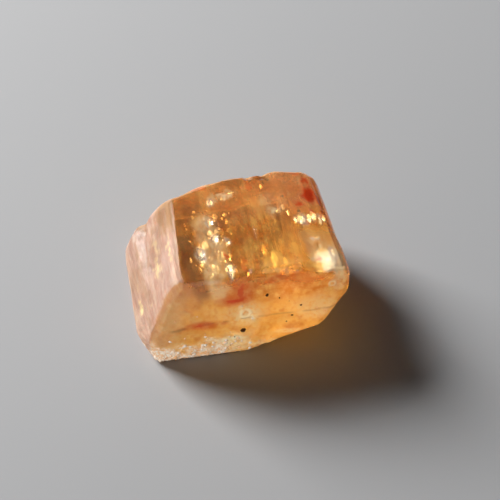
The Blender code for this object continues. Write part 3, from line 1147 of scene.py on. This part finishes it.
@dataclass
class CrackGlints:
    """Small cracks that flash: single lenses, two swarms of them and two rings."""

    top_glints: tuple[Glint, ...] = (
        (-0.72, 1.97, 0.4, 0.2, 0.24), (-1.02, 0.73, 0.4, 0.2, 0.34), (-0.98, -0.36, 0.35, 0.26, 0.4),
        (-1.15, 0.1, 0.35, 0.16, 0.24), (-0.37, -0.73, 0.3, 0.16, 0.18),
        (-1.85, -1.18, 0.35, 0.22, 0.46), (-1.89, -1.8, 0.3, 0.14, 0.26),
        (-0.6, -2.5, 0.25, 0.24, 0.44), (0.18, -2.75, 0.2, 0.1, 0.16), (-2.36, -1.45, 0.25, 0.08, 0.2),
    )
    soft_glints: tuple[Glint, ...] = (
        (1.64, -2.2, 0.8, 0.16, 0.55), (2.11, -2.5, 0.8, 0.1, 0.5), (1.3, -1.6, 0.8, 0.1, 0.5),
        (2.45, 0.75, 0.5, 0.2, 0.16), (2.75, 0.95, 0.4, 0.07, 0.22), (2.9, 0.55, 0.4, 0.07, 0.25),
        (1.95, 2.45, 0.5, 0.06, 0.16), (0.4, 2.4, 0.4, 0.16, 0.1), (-0.1, 2.12, 0.4, 0.14, 0.1),
        (-0.2, 1.08, 0.4, 0.12, 0.14), (-0.85, -1.3, 0.5, 0.14, 0.24), (-1.35, -2.2, 0.5, 0.16, 0.34),
        (0.05, -2.2, 0.3, 0.05, 0.4),
    )
    slope_glints: tuple[Glint, ...] = (
        (3.16, 0.02, 0.3, 0.12, 0.26), (3.5, 0.1, 0.3, 0.26, 0.34), (3.86, 0.14, 0.3, 0.12, 0.34),
        (4.12, 0.3, 0.3, 0.16, 0.34), (4.38, 0.05, 0.3, 0.12, 0.34), (4.62, 0.15, 0.2, 0.12, 0.26),
        (4.0, -2.55, 0.35, 0.66, 0.8), (4.38, -2.55, 0.2, 0.15, 0.6), (4.55, -2.2, 0.15, 0.09, 0.36),
        (3.95, -1.15, 0.3, 0.2, 0.06), (4.25, -1.1, 0.25, 0.14, 0.06),
    )
    rings: tuple[tuple[Triple, float, float], ...] = (
        ((-0.09, -3.26, 2.80), 0.22, 0.035),
        ((4.22, -3.26, 4.02), 0.12, 0.022),
    )
    seed: int = 7
    top_height: float = 5.12
    slope_height: float = 5.2
    slope_start: float = 2.84
    slope_fall: float = 0.249
    soft_tilt: Triple = (0.13, 0.03, 0.0)
    top_swarm: int = 100
    front_swarm: int = 110
    flatness: float = 0.06
    waver: float = 0.35
    samples: int = 16
    sample_turn: float = 2.4
    ring_sides: int = 6
    ring_steps: int = 28

    def lens(self, mesh: BMesh, place: Vector, facing: Vector, wide: float, deep: float) -> None:
        """Add one lens-shaped crack.

        Args:
            mesh: The mesh that takes it.
            place: Its middle.
            facing: The direction that it faces.
            wide: Its half width.
            deep: Its half length.
        """
        made = bmesh.ops.create_uvsphere(mesh, u_segments=10, v_segments=6, radius=1.0)["verts"]
        bmesh.ops.scale(mesh, vec=Vector((wide, deep, self.flatness * min(wide, deep))), verts=made)
        for vert in made:
            vert.co.xy *= 1.0 + self.waver * noise(vert.co * (2.0 / wide) + place * 3.0)
        turn = TOP.rotation_difference(facing).to_matrix()
        bmesh.ops.rotate(mesh, cent=ORIGIN, matrix=turn, verts=made)
        bmesh.ops.translate(mesh, vec=place, verts=made)

    def flash(self, tree: BVHTree, place: Vector, outward: Vector, spread: float) -> Vector:
        """Find the direction that a crack faces when it throws the key light to the viewer.

        Args:
            tree: The crystal's surface, in metres.
            place: The crack's middle.
            outward: The rough direction of the surface above it.
            spread: How far around it the surface is looked at.

        Returns:
            The unit vector.
        """
        total = ORIGIN.copy()
        for ray in (CAMERA_SIDE, KEY_SIDE):
            inner = bend(ray, outward)
            around = ORIGIN.copy()
            for step in range(self.samples):
                turn = step * self.sample_turn
                reach = spread * math.sqrt((step + 0.5) / self.samples)
                start = place + Vector((math.cos(turn) * reach, math.sin(turn) * reach, 0.0))
                _, normal, _, _ = tree.ray_cast(start * MM, inner)
                around += normal if normal else outward
            total += bend(ray, around.normalized())
        return total.normalized()

    def ring(self, mesh: BMesh, place: Vector, radius: float, thickness: float) -> None:
        """Add a ring-shaped crack that faces the front.

        Args:
            mesh: The mesh that takes it.
            place: Its middle.
            radius: The radius of its middle line.
            thickness: Half its thickness.
        """
        made = bmesh.ops.create_circle(mesh, segments=self.ring_sides, radius=thickness)["verts"]
        for turn in (TOP.rotation_difference(FRONT), Quaternion(TOP, math.pi / 2.0)):
            bmesh.ops.rotate(mesh, cent=ORIGIN, matrix=turn.to_matrix(), verts=made)
        bmesh.ops.translate(mesh, vec=place + Vector((radius, 0.0, 0.0)), verts=made)
        rim = list(dict.fromkeys(edge for vert in made for edge in vert.link_edges)) + made
        bmesh.ops.spin(
            mesh, geom=rim, cent=place, axis=FRONT, angle=math.tau, steps=self.ring_steps, use_merge=True
        )

    def build(self, crystal: bpy.types.Object) -> bpy.types.Object:
        """Make all the glints.

        Args:
            crystal: The finished crystal.

        Returns:
            The finished piece.
        """
        tree = BVHTree.FromObject(crystal, bpy.context.evaluated_depsgraph_get())
        chance = random.Random(self.seed)
        mesh = bmesh.new()
        top_view = bend(CAMERA_SIDE, TOP)
        top_flash = (top_view + bend(KEY_SIDE, TOP)).normalized()
        slope_view = bend(CAMERA_SIDE, RIGHT_SLOPE)
        front_view = bend(CAMERA_SIDE, FRONT)
        front_flash = (front_view + bend(KEY_SIDE, TOP)).normalized()
        for x, y, depth, wide, deep in self.top_glints:
            place = Vector((x, y, self.top_height)) - top_view * depth
            self.lens(mesh, place, self.flash(tree, place, TOP, wide), wide, deep)
        for x, y, depth, wide, deep in self.slope_glints:
            height = self.slope_height - self.slope_fall * (x - self.slope_start)
            place = Vector((x, y, height)) - slope_view * depth
            self.lens(mesh, place, self.flash(tree, place, RIGHT_SLOPE, wide), wide, deep)
        soft = (top_flash + Vector(self.soft_tilt)).normalized()
        for x, y, depth, wide, deep in self.soft_glints:
            place = Vector((x, y, self.top_height)) - top_view * depth
            self.lens(mesh, place, soft, wide, deep)
        for _ in range(self.top_swarm):
            place = Vector((chance.gauss(-1.05, 0.60), chance.uniform(-2.6, 1.6), 5.1))
            place -= top_view * chance.uniform(0.15, 0.9)
            tilt = Vector((chance.gauss(0.0, 0.13), chance.gauss(0.0, 0.13), 0.0))
            size = 0.04 + 0.12 * chance.random() ** 2
            self.lens(mesh, place, (top_flash + tilt).normalized(), size, size * chance.uniform(1.0, 2.4))
        for _ in range(self.front_swarm):
            place = Vector((chance.uniform(-3.4, 0.6), -3.35, chance.uniform(0.3, 1.7)))
            place -= front_view * chance.uniform(0.15, 0.6)
            tilt = Vector((chance.gauss(0.0, 0.10), chance.gauss(0.0, 0.10), 0.0))
            size = chance.uniform(0.03, 0.10)
            self.lens(mesh, place, (front_flash + tilt).normalized(), size, size * chance.uniform(0.8, 1.5))
        for centre, radius, thickness in self.rings:
            self.ring(mesh, Vector(centre), radius, thickness)
        bmesh.ops.recalc_face_normals(mesh, faces=mesh.faces[:])
        return finish_piece(mesh, "crack_glints", GlintFinish().material())


@dataclass
class SugarCrust:
    """Small frosted grains that sit half sunk along the foot of the front."""

    count: int = 620
    least: float = 0.035
    most: float = 0.17
    seed: int = 11
    least_share: float = 0.05
    sunk: float = 0.5
    spark_sunk: float = 0.4
    sparks: tuple[Knob, ...] = (
        (-1.08, -3.54, 1.17, 0.11), (-0.49, -3.59, 1.22, 0.12), (-0.62, -3.58, 1.05, 0.08),
        (-1.15, -3.54, 0.9, 0.09), (0.12, -3.6, 0.7, 0.1), (-3.55, -3.38, 2.95, 0.05),
        (-2.45, -3.32, 3.05, 0.05), (-2.1, -3.42, 1.75, 0.06), (-0.85, -3.5, 1.75, 0.05),
        (-0.2, -3.34, 3.35, 0.06), (0.26, -3.48, 2.45, 0.07), (-3.1, -3.4, 1.6, 0.07),
        (-0.8, -3.56, 0.85, 0.1), (-0.3, -3.58, 0.95, 0.07), (-0.9, -3.55, 1.4, 0.06),
        (-3.85, -3.38, 1.52, 0.1), (-3.12, -3.42, 1.08, 0.12), (-2.12, -3.46, 0.93, 0.11),
        (0.55, -3.6, 0.75, 0.06),
    )

    def grain(self, mesh: BMesh, place: Vector, radius: float) -> None:
        """Add one grain.

        Args:
            mesh: The mesh that takes it.
            place: Its middle.
            radius: Its rough radius.
        """
        made = bmesh.ops.create_icosphere(mesh, subdivisions=1, radius=radius)["verts"]
        for vert in made:
            vert.co *= 1.0 + 0.5 * noise(vert.co * (1.3 / radius) + place * 2.0)
        bmesh.ops.translate(mesh, vec=place, verts=made)

    def build(self, crystal: bpy.types.Object) -> bpy.types.Object:
        """Set the grains where the crystal is sugary.

        Args:
            crystal: The finished crystal.

        Returns:
            The finished piece.
        """
        chance = random.Random(self.seed)
        shares = crystal.data.attributes[Zone.SUGAR.value].data
        seats = [vert for vert in crystal.data.vertices if shares[vert.index].value > self.least_share]
        mesh = bmesh.new()
        for seat in chance.sample(seats, self.count):
            if shares[seat.index].value ** 1.5 < chance.random():
                continue
            radius = self.least + (self.most - self.least) * chance.random() ** 3
            place = seat.co / MM - seat.normal * (self.sunk * radius)
            if place.z < 1.1 * radius:
                continue
            self.grain(mesh, place, radius)
        tree = BVHTree.FromObject(crystal, bpy.context.evaluated_depsgraph_get())
        for x, y, z, radius in self.sparks:
            seat, outward, _, _ = tree.find_nearest(Vector((x, y, z)) * MM)
            self.grain(mesh, seat / MM - outward * (self.spark_sunk * radius), radius)
        return finish_piece(mesh, "sugar_grains", SugarFinish().material())


@dataclass
class DarkGrains:
    """Small dark mineral grains at the crystal's surface."""

    grains: tuple[Knob, ...] = (
        (-0.23, -3.54, 1.76, 0.14), (1.04, -3.22, 3.77, 0.085), (2.67, -3.51, 2.97, 0.085),
        (2.22, -3.56, 2.33, 0.065), (1.95, -3.56, 1.9, 0.045), (2.62, -3.6, 1.85, 0.05),
        (1.62, -3.4, 3.6, 0.035), (2.1, -3.42, 3.3, 0.045), (3.1, -3.64, 1.4, 0.04),
        (-0.65, -3.54, 1.35, 0.06), (2.35, 2.9, 5.07, 0.11), (2.1, 2.72, 5.08, 0.07),
        (2.08, 3.02, 5.02, 0.09), (1.51, 3.0, 5.04, 0.09), (2.85, 1.65, 5.13, 0.07),
        (3.45, 0.62, 5.03, 0.09), (-3.42, 1.95, 4.02, 0.06), (-1.2, 3.56, 3.1, 0.08),
        (2.2, 3.6, 2.0, 0.06), (0.4, 3.64, 1.1, 0.05),
    )

    def build(self) -> bpy.types.Object:
        """Make the grains.

        Returns:
            The finished piece.
        """
        mesh = bmesh.new()
        for x, y, z, radius in self.grains:
            centre = Vector((x, y, z))
            made = bmesh.ops.create_icosphere(mesh, subdivisions=2, radius=radius)["verts"]
            for vert in made:
                vert.co *= 1.0 + 0.45 * noise(vert.co / radius * 1.1 + centre * 2.0)
            bmesh.ops.translate(mesh, vec=centre, verts=made)
        return finish_piece(mesh, "dark_grains", GrainFinish().material())


@dataclass
class Studio:
    """Plain floor, soft lights and the camera."""

    floor_size: float = 3.0
    floor_drop: float = 0.00003
    camera_distance: float = 0.120
    target: Vector = field(default_factory=lambda: Vector((0.735, 0.815, 2.6)))
    lens: float = 172.8
    sensor: float = 36.0
    floor_tint: Rgba = (0.455, 0.463, 0.478, 1.0)
    floor_roughness: float = 0.9
    room_tint: Rgba = (0.92, 0.95, 1.0, 1.0)
    room_strength: float = 0.05
    key_tint: Triple = (1.0, 0.985, 0.965)
    warm_tint: Triple = (1.0, 0.98, 0.95)

    def floor(self) -> None:
        """Lay the plain pale floor."""
        mesh = bmesh.new()
        bmesh.ops.create_grid(mesh, x_segments=2, y_segments=2, size=self.floor_size / 2.0)
        bmesh.ops.translate(mesh, vec=Vector((0.0, 0.0, -self.floor_drop)), verts=mesh.verts[:])
        data = mesh_data(mesh, "floor")
        look = {"Base Color": self.floor_tint, "Roughness": self.floor_roughness}
        data.materials.append(Wiring.start("pale_floor").finish(look))
        floor = put_in_scene("floor", data)

    def area_light(
        self, name: str, place: Vector, size: float, power: float, colour: Triple
    ) -> bpy.types.Object:
        """Hang a soft square light that faces the crystal.

        Args:
            name: The light's name.
            place: Where it hangs, in metres.
            size: The length of its side, in metres.
            power: Its power, in watts.
            colour: Its colour.

        Returns:
            The light.
        """
        light = bpy.data.lights.new(name, "AREA")
        light.size = size
        light.energy = power
        light.color = colour
        lamp = put_in_scene(name, light)
        lamp.location = place
        lamp.rotation_euler = (-place).to_track_quat("-Z", "Y").to_euler()
        return lamp

    def lights(self) -> bpy.types.Collection:
        """Light the scene softly, mostly from the left and behind.

        Returns:
            The collection of what the fill light reaches.
        """
        world = bpy.data.worlds.new("soft_room")
        world.use_nodes = True
        glow = world.node_tree.nodes["Background"]
        glow.inputs["Color"].default_value = self.room_tint
        glow.inputs["Strength"].default_value = self.room_strength
        bpy.context.scene.world = world
        self.area_light("key", KEY_SIDE * 0.22, size=0.095, power=0.89, colour=self.key_tint)
        behind = direction(92.0, 55.0) * 0.6
        ahead = direction(245.0, 20.0) * 0.6
        back = self.area_light("back", behind, size=0.70, power=2.4, colour=self.warm_tint)
        fill = self.area_light("fill", ahead, size=0.50, power=3.3, colour=self.warm_tint)
        for lamp in (back, fill):
            lamp.visible_glossy = False
        back.visible_diffuse = False
        lit = bpy.data.collections.new("lit_by_fill")
        fill.light_linking.receiver_collection = lit
        return lit

    def camera(self) -> None:
        """Place the camera at the photograph's viewing angle."""
        aim = (self.target + SHIFT) * MM
        lens = bpy.data.cameras.new("camera")
        lens.lens = self.lens
        lens.sensor_width = self.sensor
        lens.clip_start = 0.001
        lens.clip_end = 20.0
        camera = put_in_scene("camera", lens)
        camera.location = aim + CAMERA_SIDE * self.camera_distance
        camera.rotation_euler = (-CAMERA_SIDE).to_track_quat("-Z", "Y").to_euler()
        bpy.context.scene.camera = camera

    def build(self) -> bpy.types.Collection:
        """Set up the camera, the floor and the lights.

        Returns:
            The collection of what the fill light reaches.
        """
        self.camera()
        self.floor()
        scene = bpy.context.scene
        scene.view_settings.view_transform = "Standard"
        scene.cycles.max_bounces = 24
        scene.cycles.glossy_bounces = 12
        scene.cycles.transmission_bounces = 20
        scene.cycles.transparent_max_bounces = 16
        return self.lights()


def main() -> None:
    """Build the crystal and its surroundings, and report each piece."""
    lit = Studio().build()
    crystal = CrystalBody().dress()
    lit.objects.link(crystal)
    LOG.info("crystal body: %d faces", len(crystal.data.polygons))
    CrackGlints().build(crystal)
    lit.objects.link(SugarCrust().build(crystal))
    DarkGrains().build()


if __name__ == "__main__":
    main()
